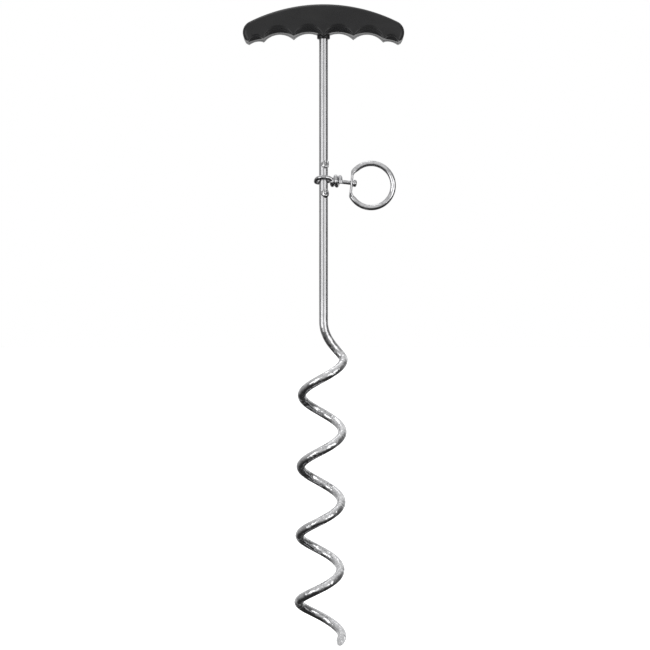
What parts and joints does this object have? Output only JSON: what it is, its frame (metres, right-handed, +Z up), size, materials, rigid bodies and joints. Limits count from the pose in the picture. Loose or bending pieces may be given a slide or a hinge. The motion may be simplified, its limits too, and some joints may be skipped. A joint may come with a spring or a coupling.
{
  "type": "spiral ground stake",
  "caption": "Ground stake with a corkscrew that is turned into the soil, a moulded T grip and a ring for a line on an eye that swivels round the stem",
  "frame": {"origin": "on the stem's axis, at the height of the ground point", "axes": "+Z runs up the stem to the grip, +X runs along the grip towards the side where the ring rests, -Y is the front"},
  "size_m": [0.108, 0.0334, 0.4287],
  "materials": {
    "plated_steel": "bright zinc or chrome plating, smooth",
    "welded_steel": "weld metal plated with the rod",
    "plain_steel": "drawn bar, unplated",
    "bright_steel": "bright chrome plating",
    "black_plastic": "injection moulded, fine satin"
  },
  "bodies": {
    "stake": {"spiral_rod": "plated_steel", "lower_stop": "welded_steel", "upper_stop": "welded_steel", "crossbar": "plain_steel", "crossbar_weld": "welded_steel", "grip_front_shell": "black_plastic", "grip_rear_shell": "black_plastic"},
    "eye": {"swivel_eye": "bright_steel"},
    "ring": {"pull_ring": "bright_steel"}
  },
  "joints": [
    {"name": "eye_spin", "type": "hinge", "parent": "stake", "child": "eye", "pos_m": [0, 0, 0.312], "axis": [0, 0, 1], "continuous": true},
    {"name": "ring_spin", "type": "hinge", "parent": "eye", "child": "ring", "pos_m": [0.0085, 0, 0.3113], "axis": [0.9925, 0, -0.1219], "continuous": true}
  ]
}
